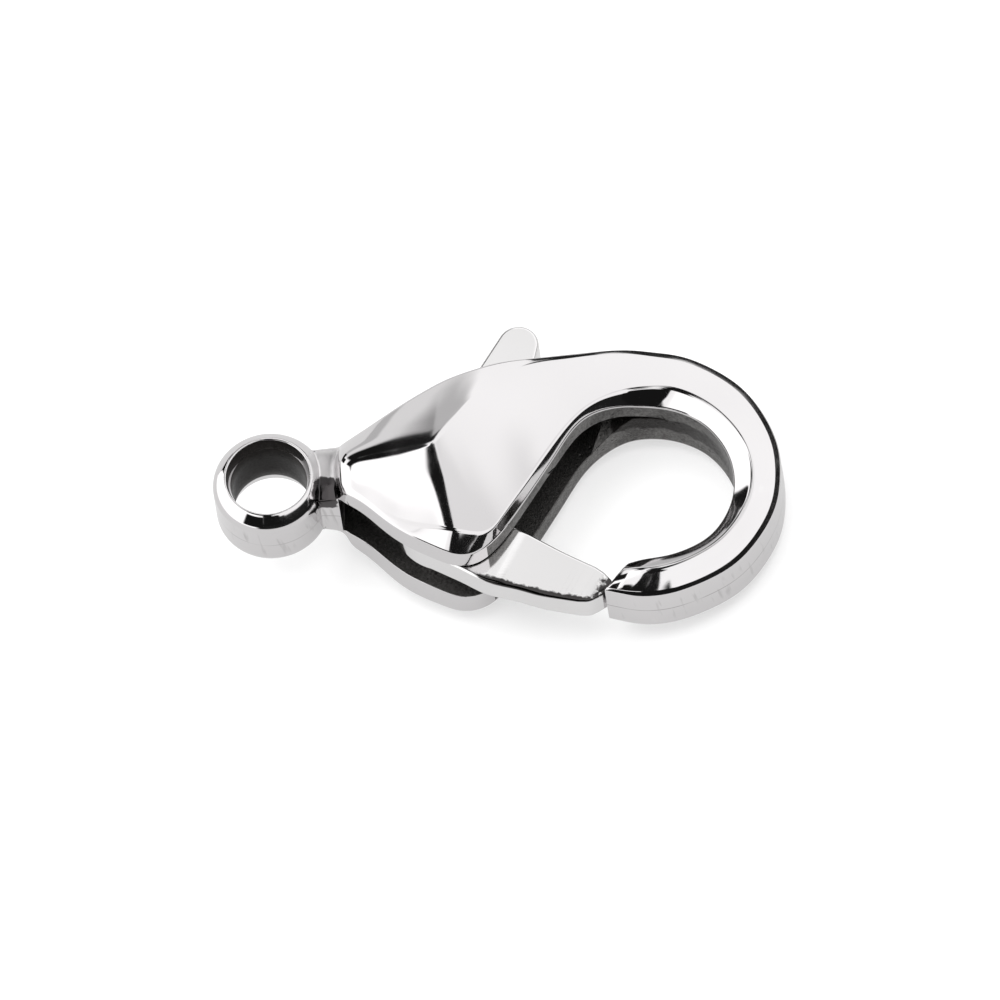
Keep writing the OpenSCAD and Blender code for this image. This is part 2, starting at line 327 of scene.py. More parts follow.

# %% [markdown]
# Across the body each section is a polygon with four corners on top and four below. Each corner
# is rounded: a point on each leg and a small arc between them. On the belly the ridge is
# soft on its far side and crisp on its near side, with a wider rounding towards the neck, and on
# the hook all edges are crisp. A facet isn't quite flat either: buffing leaves a slight crown.

# %% Round each section
# For the far edge, the ridge, the bevel and the lip: how far the rounding reaches along the leg
# before the corner and the leg after it, in mm
RIDGE = 1
ON_BELLY = ((0.12, 0.10), (0.34, 0.10), (0.05, 0.05), (0.035, 0.035))
ON_HOOK = ((0.04, 0.02), (0.01, 0.01), (0.07, 0.07), (0.035, 0.035))
CORNER_N = (6, 10, 5, 5)
WIDER_AT_NECK = 0.16
# A rounding takes at most this share of the leg before its corner, and of the leg after it
MOST_BEFORE, MOST_AFTER = 0.52, 0.46
# Points between one corner and the next, and the crown of each stretch as a share of its length
BETWEEN = (3, 4, 10, 2, 5)
CROWN = (0.0, 0.006, 0.012, 0.01, 0.0)
# Sections at which the neck ends, the wider ridge ends, the belly ends and the hook begins
neck_to, wide_to, belly_to, hook_from = (sum(steps[:row]) for row in (3, 6, 10, 13))


def arc(corner, before, after, reach_a, reach_b, count):
    """Points that round a corner, from its first leg to its second."""
    to_a, to_b = before - corner, after - corner
    a = corner + min(reach_a, MOST_BEFORE * to_a.length) * to_a.normalized()
    b = corner + min(reach_b, MOST_AFTER * to_b.length) * to_b.normalized()
    ts = [k / (count - 1) for k in range(count)]
    return [(1 - t) ** 2 * a + 2 * t * (1 - t) * corner + t * t * b for t in ts]


def share_of_way(i, start, end):
    """0 up to the first section, 1 from the second one on, and even between them."""
    return min(1, max(0, (i - start) / (end - start)))


def reaches(i, k):
    """How far a corner's rounding reaches at a section."""
    t = share_of_way(i, belly_to, hook_from)
    before, after = [a + (b - a) * t for a, b in zip(ON_BELLY[k], ON_HOOK[k])]
    wider = WIDER_AT_NECK * share_of_way(i, wide_to, neck_to)
    return [before, after + wider if k == RIDGE else after]


def half_section(i):
    """The top half of a section, from the far wall's middle to the near wall's middle."""
    corners = [line[i] for line in lines]
    first = Vector((corners[0].x, corners[0].y, 0))
    final = Vector((corners[3].x, corners[3].y, 0))
    path = [first] + corners + [final]
    soft = [arc(path[k + 1], path[k], path[k + 2], *reaches(i, k), CORNER_N[k]) for k in range(4)]
    stretches = [[first]] + soft + [[final]]
    out = []
    for k in range(5):
        out += stretches[k] if k else [first]
        a, b = stretches[k][-1], stretches[k + 1][0]
        crown = Vector((0, 0, CROWN[k] * (b - a).length))
        for j in range(1, BETWEEN[k] + 1):
            t = j / (BETWEEN[k] + 1)
            out.append(a.lerp(b, t) + math.sin(math.pi * t) * crown)
    return out + [final]


halves = [half_section(i) for i in range(len(lines[0]))]
print("points on a half section:", len(halves[0]))

# %% [markdown]
# The mesh is a grid of quads through all sections, with the lower half mirrored from the upper
# one and a flat cap at each end. The wall that faces the hook's eye is left as it was cast, so
# its faces take the second material slot from the start. The third slot is the ring's bore.
# Helpers for making, joining and cutting meshes come first. Shapes are cut with the Boolean
# modifier, which is applied at once.

# %% Make the loft
POLISHED, CAST, BORE = 0, 1, 2
SURFACES = [bpy.data.materials.new(n) for n in ("polished_steel", "cast_steel", "bore_shade_steel")]
far_n = len(halves[0])


def mesh_object(name, points, faces, slots=None):
    """A new object from points and faces, with a material slot number for each face."""
    mesh = bpy.data.meshes.new(name)
    mesh.from_pydata([tuple(p) for p in points], [], faces)
    mesh.update()
    obj = bpy.data.objects.new(name, mesh)
    bpy.context.scene.collection.objects.link(obj)
    for surface in SURFACES if slots else []:
        mesh.materials.append(surface)
    for polygon, number in zip(mesh.polygons, slots or []):
        polygon.material_index = number
    return obj


def faced_outwards(obj):
    """Turns all faces of a closed mesh outwards."""
    bm = bmesh.new()
    bm.from_mesh(obj.data)
    bmesh.ops.recalc_face_normals(bm, faces=bm.faces)
    bm.to_mesh(obj.data)
    bm.free()
    return obj


def closed_loft(name, rings, slot_of=None):
    """A closed mesh through rings that all have as many points."""
    n, m = len(rings[0]), len(rings)
    points = [p for ring in rings for p in ring]
    faces, slots = [], []
    for i in range(m - 1):
        for j in range(n):
            a, b = i * n + j, i * n + (j + 1) % n
            faces.append((a, b, b + n, a + n))
            slots.append(slot_of(i, j) if slot_of else 0)
    faces += [tuple(reversed(range(n))), tuple(range((m - 1) * n, m * n))]
    slots += [0, 0]
    return faced_outwards(mesh_object(name, points, faces, slots))


def full_section(half):
    """The closed section: over the top, then back underneath."""
    below = [Vector((p.x, p.y, -p.z)) for p in reversed(half[1:-1])]
    return half + below


def wall_slot(i, j):
    """The wall inside the mouth is cast, and all else is polished."""
    wall = BETWEEN[4] + 2
    near_wall = far_n - wall <= j < far_n + wall - 2
    inside = i > corner_at
    return CAST if near_wall and inside else POLISHED


belly = closed_loft("body_metal", [full_section(h) for h in halves], wall_slot)
print("faces of the loft:", len(belly.data.polygons))

# %% [markdown]
# ## Ring
#
# The ring at the body's end is turned: a straight bore with a flare at each mouth, a narrow lip,
# a slanting bevel and a straight outer wall. Its profile goes once round the bore's axis. The
# corners are rounded in the profile, with the same arcs as the sections. The bore up to the lip
# takes the third material slot, which is painted nearly black as shade.

# %% Turn the ring
ROUND = 128


def rounded_loop(corners, rounding, count=6):
    """A closed outline with each corner rounded."""
    out = []
    for i, (corner, reach) in enumerate(zip(corners, rounding)):
        after = corners[(i + 1) % len(corners)]
        out += arc(corner, corners[i - 1], after, reach, reach, count)
    return out


def turned(name, profile, slot_of):
    """A closed profile of radius and height, turned once round the z axis."""
    n = len(profile)
    points, faces, slots = [], [], []
    for s in range(ROUND):
        a = 2 * math.pi * s / ROUND
        points += [Vector((p.x * math.cos(a), p.x * math.sin(a), p.y)) for p in profile]
    for s in range(ROUND):
        for j in range(n):
            a, b = s * n + j, s * n + (j + 1) % n
            c, d = (b + n) % (ROUND * n), (a + n) % (ROUND * n)
            faces.append((a, d, c, b))
            slots.append(slot_of(profile[j], profile[(j + 1) % n]))
    return mesh_object(name, points, faces, slots)


mouth_r = bore_r + bore_flare
lip_r = mouth_r + lip_w
straight = ring_half / 2
outline = [(bore_r, -straight), (mouth_r, -ring_half), (lip_r, -ring_half),
           (ring_r, -ring_wall_half), (ring_r, ring_wall_half), (lip_r, ring_half),
           (mouth_r, ring_half), (bore_r, straight)]
# How far each corner's rounding reaches, and how far inside the lip the painted bore shade ends,
# in mm
rounding = [0.12, 0.02, 0.07, 0.13, 0.13, 0.07, 0.02, 0.12]
SHADE_ENDS = 0.008


def ring_slot(a, b):
    """The bore takes the painted shade, which ends just inside the lip."""
    return BORE if max(a.x, b.x) < mouth_r - SHADE_ENDS else POLISHED


ring = turned("ring", rounded_loop([Vector((r, z, 0)) for r, z in outline], rounding), ring_slot)
print("faces of the ring:", len(ring.data.polygons))

# %% [markdown]
# ## Cutting the body
#
# The lever's slot is sawn into the casting from the mouth's side. It is as high as the lever and
# its spring, closed along the far side apart from a window for the thumb tab, and it runs out in
# a shallow groove inside the hook. Its cutter is the part that two prisms share: one has the
# slot's plan and the other its side view. The pin's hole goes through the lower cheek and ends
# in the upper one.

# %% Join the ring and cut the slot
def prism(name, outline, low, high, across=False):
    """An upright prism, or one that lies along y."""
    n = len(outline)
    put = (lambda p, h: (p[0], h, p[1])) if across else (lambda p, h: (p[0], p[1], h))
    points = [put(p, low) for p in outline] + [put(p, high) for p in outline]
    sides = [(i, (i + 1) % n, n + (i + 1) % n, n + i) for i in range(n)]
    caps = [tuple(reversed(range(n))), tuple(range(n, 2 * n))]
    return faced_outwards(mesh_object(name, points, sides + caps, [CAST] * (n + 2)))


def shaped(obj, tool, operation):
    """Joins, cuts or intersects an object with a tool, and removes the tool."""
    step = obj.modifiers.new(operation.lower(), "BOOLEAN")
    step.operation, step.object, step.solver = operation, tool, "EXACT"
    bake(obj)
    bpy.data.objects.remove(tool)
    return obj


def bake(obj):
    """Turns an object's modifiers into its mesh."""
    graph = bpy.context.evaluated_depsgraph_get()
    mesh = bpy.data.meshes.new_from_object(obj.evaluated_get(graph))
    obj.modifiers.clear()
    obj.data = mesh


def circle(centre, r, count):
    steps = [2 * math.pi * k / count for k in range(count)]
    return [(centre.x + r * math.cos(a), centre.y + r * math.sin(a)) for a in steps]


def toward(centre, r, degrees):
    a = math.radians(degrees)
    return Vector((centre.x + r * math.cos(a), centre.y + r * math.sin(a), 0))


WINDOW_ROOM = 0.12
PIN_SIDES = 48
tab_at = toward(pin, tab_reach, tab_angle)
wide = 2 * hook_r
back = hook_r + hook_at.y - spine_t
x = hook_at.x
window_right = tab_at.x + tab_r + WINDOW_ROOM
slot_plan = [(0.19 * x, -wide), (0.72 * x, -wide), (0.72 * x, -0.5 * hook_r), (1.06 * x, 0),
             (1.06 * x, 0.75 * back), (1.03 * x, 0.9 * back), (0.95 * x, back),
             (window_right, back), (window_right, wide), (0.27 * x, wide),
             (0.27 * x, 0.3 * hook_r), (0.19 * x, 0.1 * hook_r)]
groove = 0.3 * slot_top
slot_side = [(0, slot_floor), (0.85 * x, slot_floor), (0.9 * x, 0.5 * slot_floor),
             (0.97 * x, groove), (1.06 * x, groove), (0.97 * x, 1.4 * groove),
             (0.87 * x, 0.7 * slot_top), (0.75 * x, slot_top), (0, slot_top)]
neck_cut = prism("neck_cut", circle(Vector(), (lip_r + ring_r) / 2, ROUND), -2, 2)
slot_cut = prism("slot_cut", slot_plan, -belly_half, belly_half)
slot_cut = shaped(slot_cut, prism("side", slot_side, -wide, wide, across=True), "INTERSECT")
seat = slot_top + seat_depth
pin_cut = prism("pin_cut", circle(pin, pin_r + pin_fit, PIN_SIDES), -2 * belly_half, seat)
shaped(belly, neck_cut, "DIFFERENCE")
shaped(belly, ring, "UNION")
shaped(belly, slot_cut, "DIFFERENCE")
shaped(belly, pin_cut, "DIFFERENCE")
print("faces of the cut body:", len(belly.data.polygons))

# %% [markdown]
# The cuts leave knife edges, which no real casting has. A Bevel modifier rounds each edge that
# turns by more than a limit, and weighted normals keep the big faces flat in the shading, so
# that reflections run straight across them. The piece is then laid into the frame.

# %% Break the sharp edges
SHARP_FROM = 50


def broken_edges(obj, width, limit, segments=2, merge=0.003):
    """Rounds edges that turn by more than a limit, and lays the piece into the frame."""
    bm = bmesh.new()
    bm.from_mesh(obj.data)
    bmesh.ops.remove_doubles(bm, verts=bm.verts, dist=merge)
    bmesh.ops.dissolve_degenerate(bm, edges=bm.edges, dist=merge)
    bm.to_mesh(obj.data)
    bm.free()
    edge = obj.modifiers.new("edges", "BEVEL")
    edge.width, edge.segments, edge.limit_method = width, segments, "ANGLE"
    edge.angle_limit, edge.use_clamp_overlap = math.radians(limit), False
    bake(obj)
    for polygon in obj.data.polygons:
        polygon.use_smooth = True
    obj.data.set_sharp_from_angle(angle=math.radians(SHARP_FROM))
    weights = obj.modifiers.new("normals", "WEIGHTED_NORMAL")
    weights.keep_sharp = True
    bake(obj)
    obj.data.transform(TO_FRAME)
    obj.data.update()


broken_edges(belly, width=0.018, limit=42)
print("faces of the body:", len(belly.data.polygons))

# %% [markdown]
# ## Lever
#
# The lever is stamped from plate: a round hub on the pin, a tapering arm with a round thumb tab,
# and the gate, which reaches across the mouth to the hook's tip. The gate is cranked down a
# little so that it meets the tip in the middle. One closed outline is filled, made solid, and
# sliced across the gate, and the slices are then lowered.

# %% Outline of the lever
# [share of the way to the tip, outer and inner offset as shares of gate_w]
GATE = [
    [0.21, 0.92, -0.35],
    [0.38, 0.96, -0.155],
    [0.55, 0.85, -0.13],
    [0.66, 0.79, -0.115],
    [0.76, 0.70, -0.115],
    [0.86, 0.60, -0.12],
    [0.91, 0.515, -0.09],
    [0.94, 0.40, -0.05],
]
GATE_STEPS = 4
# Angle at which the hub's round edge runs out into the gate
HUB_ENDS = 252
hub = Vector((pin.x, pin.y, 0))
tip_mid = (polar(TIP[0][0], TIP[0][1]) + polar(TIP[3][0], TIP[3][1])) / 2
run = (tip_mid - hub).length
along = (tip_mid - hub).normalized()
outward = Vector((along.y, -along.x, 0))


def gate_point(share, offset):
    return hub + share * run * along + offset * gate_w * outward


def bow(centre, r, first, final, count):
    """Points on an arc from one angle to another."""
    return [toward(centre, r, first + (final - first) * k / (count - 1)) for k in range(count)]


touch = math.degrees(math.acos((hub_r - tab_r) / tab_reach))
nose = 1 - (gate_gap + play) / run
# Both edges of the gate turn sharply only at its ends and where its rounded tip begins
outer = [gate_point(share, offset) for share, offset, _ in GATE]
inner = [gate_point(share, offset) for share, _, offset in GATE[1:]]
outer_side = curved(outer, {0, 5, 7}, [GATE_STEPS] * 7)
inner_side = curved(inner, {0, 4, 6}, [GATE_STEPS] * 6)
lever_outline = (
    bow(tab_at, tab_r, tab_angle - touch, tab_angle + touch, 24)
    + bow(hub, hub_r, tab_angle + touch, HUB_ENDS, 24)
    + outer_side
    + [gate_point(nose, 0.22), gate_point(nose, 0.0)]
    + list(reversed(inner_side))
    + bow(hub, hub_r, tab_angle - touch - 8, tab_angle - touch, 2)
)
print("points on the lever's outline:", len(lever_outline))

# %% Stamp, slice and crank the lever
# Start and length of the slices, and start and end of the crank, as shares of the way to the
# tip. The soft share is a share of the crank.
SLICES = 24
SLICED_FROM, SLICED = 0.38, 0.6
CRANK_FROM, CRANK_TO, CRANK_SOFT = 0.40, 0.96, 0.16


def ramp(t, soft):
    """Climbs straight from 0 to 1, with a short soft start and end."""
    t = min(1, max(0, t))
    if t < soft:
        climb = t * t / (2 * soft)
    elif t > 1 - soft:
        climb = 1 - soft - (1 - t) ** 2 / (2 * soft)
    else:
        climb = t - soft / 2
    return climb / (1 - soft)


lever = prism("lever_metal", lever_outline, lever_top - lever_t, lever_top)
for polygon in lever.data.polygons:
    polygon.material_index = POLISHED
bm = bmesh.new()
bm.from_mesh(lever.data)
for k in range(SLICES):
    at = hub + along * run * (SLICED_FROM + SLICED * k / SLICES)
    every = list(bm.verts) + list(bm.edges) + list(bm.faces)
    bmesh.ops.bisect_plane(bm, geom=every, dist=1e-5, plane_co=at, plane_no=along)
for v in bm.verts:
    share = (v.co - hub).dot(along) / run
    t = (share - CRANK_FROM) / (CRANK_TO - CRANK_FROM)
    in_gate = (v.co - hub).dot(outward) > -0.3 * gate_w
    v.co.z -= gate_drop * ramp(t, CRANK_SOFT) if in_gate else 0
bm.to_mesh(lever.data)
bm.free()
shaped(lever, prism("hub_cut", circle(pin, pin_r + play, PIN_SIDES), -2, 2), "DIFFERENCE")
broken_edges(lever, width=0.06, limit=40, segments=3)
print("faces of the lever:", len(lever.data.polygons))

# %% [markdown]
# ## Spring
#
# A torsion spring of thin wire winds round the pin under the lever. Its lower leg lies against
# the neck and its upper leg pushes on the gate. It is a tube swept along its own path: two
# straight legs and a helix between them.

# %% Wind the spring
COIL_TURNS = 2
COIL_START = -130
WIRE_SIDES = 12
coil_r = pin_r + wire_room + wire_r
coil_low = slot_floor + play + wire_r
coil_high = lever_top - lever_t - play - wire_r
fixed_leg = 1.5
free_leg = 0.95


def coil_point(turn):
    p = toward(pin, coil_r, COIL_START + turn)
    p.z = coil_low + (coil_high - coil_low) * turn / (360 * COIL_TURNS)
    return p


def heading(turn):
    a = math.radians(COIL_START + turn)
    return Vector((-math.sin(a), math.cos(a), 0))


whole = 360 * COIL_TURNS
wire = [coil_point(0) - s * fixed_leg * heading(0) for s in (1, 0.75, 0.5, 0.25)]
wire += [coil_point(turn) for turn in range(0, whole + 1, 8)]
wire += [coil_point(whole) + s * free_leg * heading(whole) for s in (0.25, 0.5, 0.75, 1)]


def tube(name, path, r, sides):
    """A round tube along a path that never runs upright."""
    rings = []
    for i, p in enumerate(path):
        d = path[min(i + 1, len(path) - 1)] - path[max(i - 1, 0)]
        side = Vector((-d.y, d.x, 0)).normalized()
        up = d.cross(side).normalized()
        angles = [2 * math.pi * k / sides for k in range(sides)]
        rings.append([p + r * (math.cos(a) * side + math.sin(a) * up) for a in angles])
    return closed_loft(name, rings)


spring = tube("spring_wire", wire, wire_r, WIRE_SIDES)
broken_edges(spring, width=0.012, limit=60)
print("length of wire in mm:", round(sum((b - a).length for a, b in zip(wire, wire[1:])), 2))

# %% [markdown]
# ## Finishes
#
# The metals share their effects, so each effect is a node group. First come short helpers for
# the nodes that all of them need. Every pattern lies in the piece's own space, in metres, so it
# stays where it is when the lever turns.

# %% Helpers for the nodes
def group(name, inputs, outputs):
    """A shader node group: its tree, its sockets, and where a point lies on its piece."""
    tree = bpy.data.node_groups.new(name, "ShaderNodeTree")
    for label, value in inputs:
        socket = tree.interface.new_socket(label, in_out="INPUT", socket_type="NodeSocketFloat")
        socket.default_value = value
    for label in outputs:
        tree.interface.new_socket(label, in_out="OUTPUT", socket_type="NodeSocketFloat")
    take = tree.nodes.new("NodeGroupInput").outputs
    give = tree.nodes.new("NodeGroupOutput").inputs
    return tree, take, give, tree.nodes.new("ShaderNodeTexCoord").outputs["Object"]


def join(tree, source, target):
    tree.links.new(source, target)


def add(tree, kind, values, **settings):
    """A new node. Each value is a plain one or another node's output."""
    node = tree.nodes.new(kind)
    for name, setting in settings.items():
        setattr(node, name, setting)
    for label, value in values.items():
        if isinstance(value, bpy.types.NodeSocket):
            join(tree, value, node.inputs[label])
        else:
            node.inputs[label].default_value = value
    return node


def maths(tree, operation, *values, clamp=False):
    """The result of a Math node."""
    numbered = dict(enumerate(values))
    return add(tree, "ShaderNodeMath", numbered, operation=operation, use_clamp=clamp).outputs[0]


def plus(tree, a, b):
    return maths(tree, "ADD", a, b)


def minus(tree, a, b):
    return maths(tree, "SUBTRACT", a, b)


def times(tree, a, b):
    return maths(tree, "MULTIPLY", a, b)


def vector_maths(tree, operation, output, a, b):
    return add(tree, "ShaderNodeVectorMath", {0: a, 1: b}, operation=operation).outputs[output]


def noise(tree, where, scale, detail=3.0, rough=0.5):
    values = {"Vector": where, "Scale": scale, "Detail": detail, "Roughness": rough}
    return add(tree, "ShaderNodeTexNoise", values).outputs["Fac"]


def spread(tree, value, low, high, new_low=0.0, new_high=1.0, kind="LINEAR"):
    """Takes a value from one range to another, and never out of it."""
    ends = {"From Min": low, "From Max": high, "To Min": new_low, "To Max": new_high}
    node = add(tree, "ShaderNodeMapRange", {"Value": value, **ends}, interpolation_type=kind)
    return node.outputs["Result"]


def ragged_edge(tree, where, fineness, depth):
    """Noise that moves a mask's edge in and out by that depth."""
    return spread(tree, noise(tree, where, fineness, 4.0, 0.6), 0.3, 0.7, -depth, depth)


# %% [markdown]
# Buffing leaves very fine scratches and a haze that changes from place to place. Casting leaves
# grain and small pits, which are deep in the recesses that no wheel can reach and nearly gone
# outside. Handling wears the edges, and their lighter colour is partly a painted highlight.

# %% Effects of making and wear
# How fine each pattern is: at 1000 a patch is about a millimetre wide
HAZE, WHEEL_LINES, RIPPLE, TONE = 700, 2500, 900, 260
CAST_GRAIN, CAST_PITS, PITTED, DIRT = 22000.0, 7000, 2500, 1400
WORN_AWAY = 3000


def buffed_group():
    """Haze and hair-fine scratches of a buffing wheel."""
    tree, take, give, where = group(
        "Buffed metal", [("Smooth", 0.05), ("Hazy", 0.16), ("Scratches", 1.0)],
        ["Roughness", "Height", "Tone"])
    haze = noise(tree, where, HAZE, 4.0, 0.6)
    haze = spread(tree, haze, 0.42, 0.72, take["Smooth"], take["Hazy"])
    stretch = {"Vector": where, "Rotation": (0.2, 0.1, 0.5), "Scale": (1.0, 14.0, 6.0)}
    stretched = add(tree, "ShaderNodeMapping", stretch).outputs[0]
    scratches = times(tree, noise(tree, stretched, WHEEL_LINES, 2.0, 0.5), take["Scratches"])
    ripple = noise(tree, where, RIPPLE, 1.0, 0.4)
    tone = noise(tree, where, TONE, 2.0)
    join(tree, haze, give["Roughness"])
    join(tree, plus(tree, times(tree, scratches, 0.25), ripple), give["Height"])
    join(tree, spread(tree, tone, 0.3, 0.7), give["Tone"])
    return tree


def cast_group():
    """Grain and pits of a casting."""
    tree, take, give, where = group(
        "Cast grain", [("Grain", CAST_GRAIN), ("Pits", 0.5)], ["Height", "Dark"])
    grain = noise(tree, where, take["Grain"], 5.0, 0.65)
    cells = add(tree, "ShaderNodeTexVoronoi", {"Vector": where, "Scale": CAST_PITS})
    pits = spread(tree, cells.outputs["Distance"], 0.0, 0.25, 1.0, 0.0)
    some = spread(tree, noise(tree, where, PITTED, 2.0), 0.5, 0.6)
    pits = times(tree, times(tree, pits, some), take["Pits"])
    join(tree, minus(tree, grain, pits), give["Height"])
    dirt = spread(tree, noise(tree, where, DIRT, 4.0, 0.6), 0.35, 0.7)
    dark = plus(tree, times(tree, dirt, 0.5), pits)
    speckle = spread(tree, grain, 0.38, 0.62, 0.45, 0.0)
    join(tree, maths(tree, "ADD", dark, speckle, clamp=True), give["Dark"])
    return tree


def worn_and_lit_group():
    """Edges that stand out, lighter as wear and as a painted highlight, broken up as handling
    wears them.
    """
    tree, take, give, where = group("Worn and highlighted edges", [("Start", 0.60), ("Full", 0.72)], ["Mask"])
    sharp = add(tree, "ShaderNodeNewGeometry", {}).outputs["Pointiness"]
    edge = spread(tree, sharp, take["Start"], take["Full"])
    broken = spread(tree, noise(tree, where, WORN_AWAY), 0.35, 0.6, 0.3, 1.0)
    join(tree, times(tree, edge, broken), give["Mask"])
    return tree


# %% [markdown]
# Other marks have a place of their own. The two halves of the mould leave a faint line round the
# walls at mid-height. The groove inside the hook gets painted black shade that fades towards its
# end. The neck's corner, where the wheel can't reach, is satin and has a round black spot. A rough
# dark line along the gate's outer edge and round its end is a painted dark reflection.

# %% Marks in their own places
LINE_GAPS, UPRIGHT_MARKS = 1200, 9000
GROOVE_SHADE_EDGE, SPOT_EDGE, EDGE_REFLECTION_RAGGED = 5000, 6000, 9000
# Where the painted groove shade begins to fade along x and where it is nearly gone, in mm
GROOVE_SHADE_FADES = (7.2, 8.3)
# The gate's outer edge as a curve: share and offset at its start, its slope and its bend
EDGE_SHARE, EDGE_OFFSET, EDGE_SLOPE, EDGE_BEND = 0.38, 0.96, 0.407, 0.715
# The painted dark reflection's width and softness in shares of gate_w, and its two ends in shares
# of the way
EDGE_REFLECTION_WIDTH, EDGE_REFLECTION_SOFT = 0.095, 0.03
PAST_CHEEK, ROUND_END = (0.24, 0.3), (0.915, 0.94)


def height_above_middle(tree, where):
    """Distance from the clasp's middle plane, in metres."""
    return vector_maths(tree, "DOT_PRODUCT", "Value", where, axis)


def groove_shade_group():
    """Painted black shade along the groove inside the hook, which fades out towards its end."""
    tree, take, give, where = group(
        "Groove painted shade", [("Low", -0.22 * MM), ("High", 0.26 * MM)], ["Mask"])
    height = height_above_middle(tree, where)
    height = plus(tree, height, ragged_edge(tree, where, GROOVE_SHADE_EDGE, 0.06 * MM))
    over = minus(tree, height, take["Low"])
    under = minus(tree, take["High"], height)
    inside = spread(tree, maths(tree, "MINIMUM", over, under), 0.0, 0.07 * MM)
    x_of = vector_maths(tree, "DOT_PRODUCT", "Value", where, (1, 0, 0))
    fade = spread(tree, x_of, GROOVE_SHADE_FADES[0] * MM, GROOVE_SHADE_FADES[1] * MM, 1.0, 0.25)
    join(tree, times(tree, inside, fade), give["Mask"])
    return tree


def spot_group(name, centre, radius, soft):
    """A round spot with a ragged edge. Its sizes are in millimetres."""
    tree, take, give, where = group(name, [("Radius", radius * MM)], ["Mask"])
    far = vector_maths(tree, "DISTANCE", "Value", where, TO_FRAME @ Vector(centre))
    far = plus(tree, far, ragged_edge(tree, where, SPOT_EDGE, 0.04 * MM))
    edge = minus(tree, take["Radius"], far)
    join(tree, spread(tree, edge, 0.0, soft * MM), give["Mask"])
    return tree


def how_far(tree, where, way, unit):
    """How far a point lies from the lever's hub along a direction. The unit is in mm."""
    from_hub = vector_maths(tree, "SUBTRACT", "Vector", where, TO_FRAME @ hub)
    gone = vector_maths(tree, "DOT_PRODUCT", "Value", from_hub, LEAN.to_3x3() @ way)
    return maths(tree, "DIVIDE", gone, unit * MM)


def edge_reflection_group():
    """A painted dark reflection: a rough dark line along the gate's outer top edge and round its
    end.
    """
    tree, take, give, where = group("Painted edge reflection", [("Width", EDGE_REFLECTION_WIDTH)], ["Mask"])
    share = how_far(tree, where, along, run)
    offset = how_far(tree, where, outward, gate_w)
    height = how_far(tree, where, Vector((0, 0, 1)), 1.0)
    ragged = ragged_edge(tree, where, EDGE_REFLECTION_RAGGED, EDGE_REFLECTION_SOFT)
    past = minus(tree, share, EDGE_SHARE)
    bend = plus(tree, times(tree, past, EDGE_BEND), EDGE_SLOPE)
    edge = minus(tree, EDGE_OFFSET, times(tree, past, bend))
    inward = plus(tree, minus(tree, edge, offset), ragged)
    wide = plus(tree, take["Width"], EDGE_REFLECTION_SOFT)
    beside = spread(tree, inward, take["Width"], wide, 1.0, 0.0)
    end = spread(tree, plus(tree, share, ragged), *ROUND_END)
    fall = gate_drop / (CRANK_TO - CRANK_FROM)
    top_here = lever_top + fall * (CRANK_FROM - EDGE_SHARE)
    top = minus(tree, top_here, times(tree, past, fall))
    on_top = spread(tree, minus(tree, top, height), 0.04, 0.06, 1.0, 0.0)
    line = times(tree, maths(tree, "MAXIMUM", beside, end), on_top)
    join(tree, times(tree, line, spread(tree, share, *PAST_CHEEK)), give["Mask"])
    return tree


def mould_line_group():
    """A faint, broken line round the walls, with short upright marks beside it."""
    tree, take, give, where = group("Mould line", [("Half width", 0.014 * MM)], ["Mask"])
    away = maths(tree, "ABSOLUTE", height_above_middle(tree, where))
    line = spread(tree, away, 0.0, take["Half width"], 1.0, 0.0)
    gaps = spread(tree, noise(tree, where, LINE_GAPS), 0.4, 0.6, 0.15, 0.8)
    upright = add(tree, "ShaderNodeMapping", {"Vector": where, "Scale": (1.0, 1.0, 0.12)})
    marks = noise(tree, upright.outputs[0], UPRIGHT_MARKS, 2.0)
    marks = spread(tree, marks, 0.60, 0.74, 0.0, 0.3)
    beside = spread(tree, away, 0.20 * MM, 0.42 * MM, 1.0, 0.0)
    marks = times(tree, marks, beside)
    join(tree, maths(tree, "MAXIMUM", times(tree, line, gaps), marks), give["Mask"])
    return tree


BUFFED = buffed_group()
GRAIN = cast_group()
WORN_AND_LIT = worn_and_lit_group()
MOULD_LINE = mould_line_group()
# Painted black shade along the groove inside the hook
GROOVE_SHADE = groove_shade_group()
neck_x, neck_top = 0.155 * hook_at.x, 0.5
# A round black spot in the corner of the neck
NECK_SPOT = spot_group("Neck black spot", (neck_x, -0.1 * hook_r, neck_top), radius=0.31, soft=0.03)
SATIN = spot_group("Satin neck", (neck_x, 0.09 * hook_r, neck_top), radius=0.5, soft=0.15)
# Painted dark reflection along the gate's outer edge and round its end
EDGE_REFLECTION = edge_reflection_group()
print("groups:", [g.name for g in bpy.data.node_groups])

# %% [markdown]
# The polished metal is almost a mirror, so its look is what it reflects. The tone changes only a
# little over the surface. The cast metal in the slot and on the inner walls is darker, rougher
# and pitted, with painted shade in the hook's groove, and the bore is painted nearly black as
# shade. The pin and the wire are drawn metal, a little duller than the polished parts.

# %% Metals
# Lighter colour of the edges: wear and a painted highlight
WORN_HIGHLIGHT_TONE = (0.86, 0.86, 0.85)
MOULD_DARK = (0.20, 0.19, 0.18)
# Colour of the round black spot in the neck's corner
NECK_SPOT_BLACK = (0.03, 0.026, 0.027)
# Colour of the painted dark reflection on the gate's edge
EDGE_REFLECTION_BLACK = (0.02, 0.017, 0.017)
# Colour of the painted shade in the groove inside the hook
GROOVE_SHADE_BLACK = (0.012, 0.010, 0.009)
# Roughness that worn edges and the satin neck have above the rest
WORN_DULLER, SATIN_DULLER = 0.06, 0.32


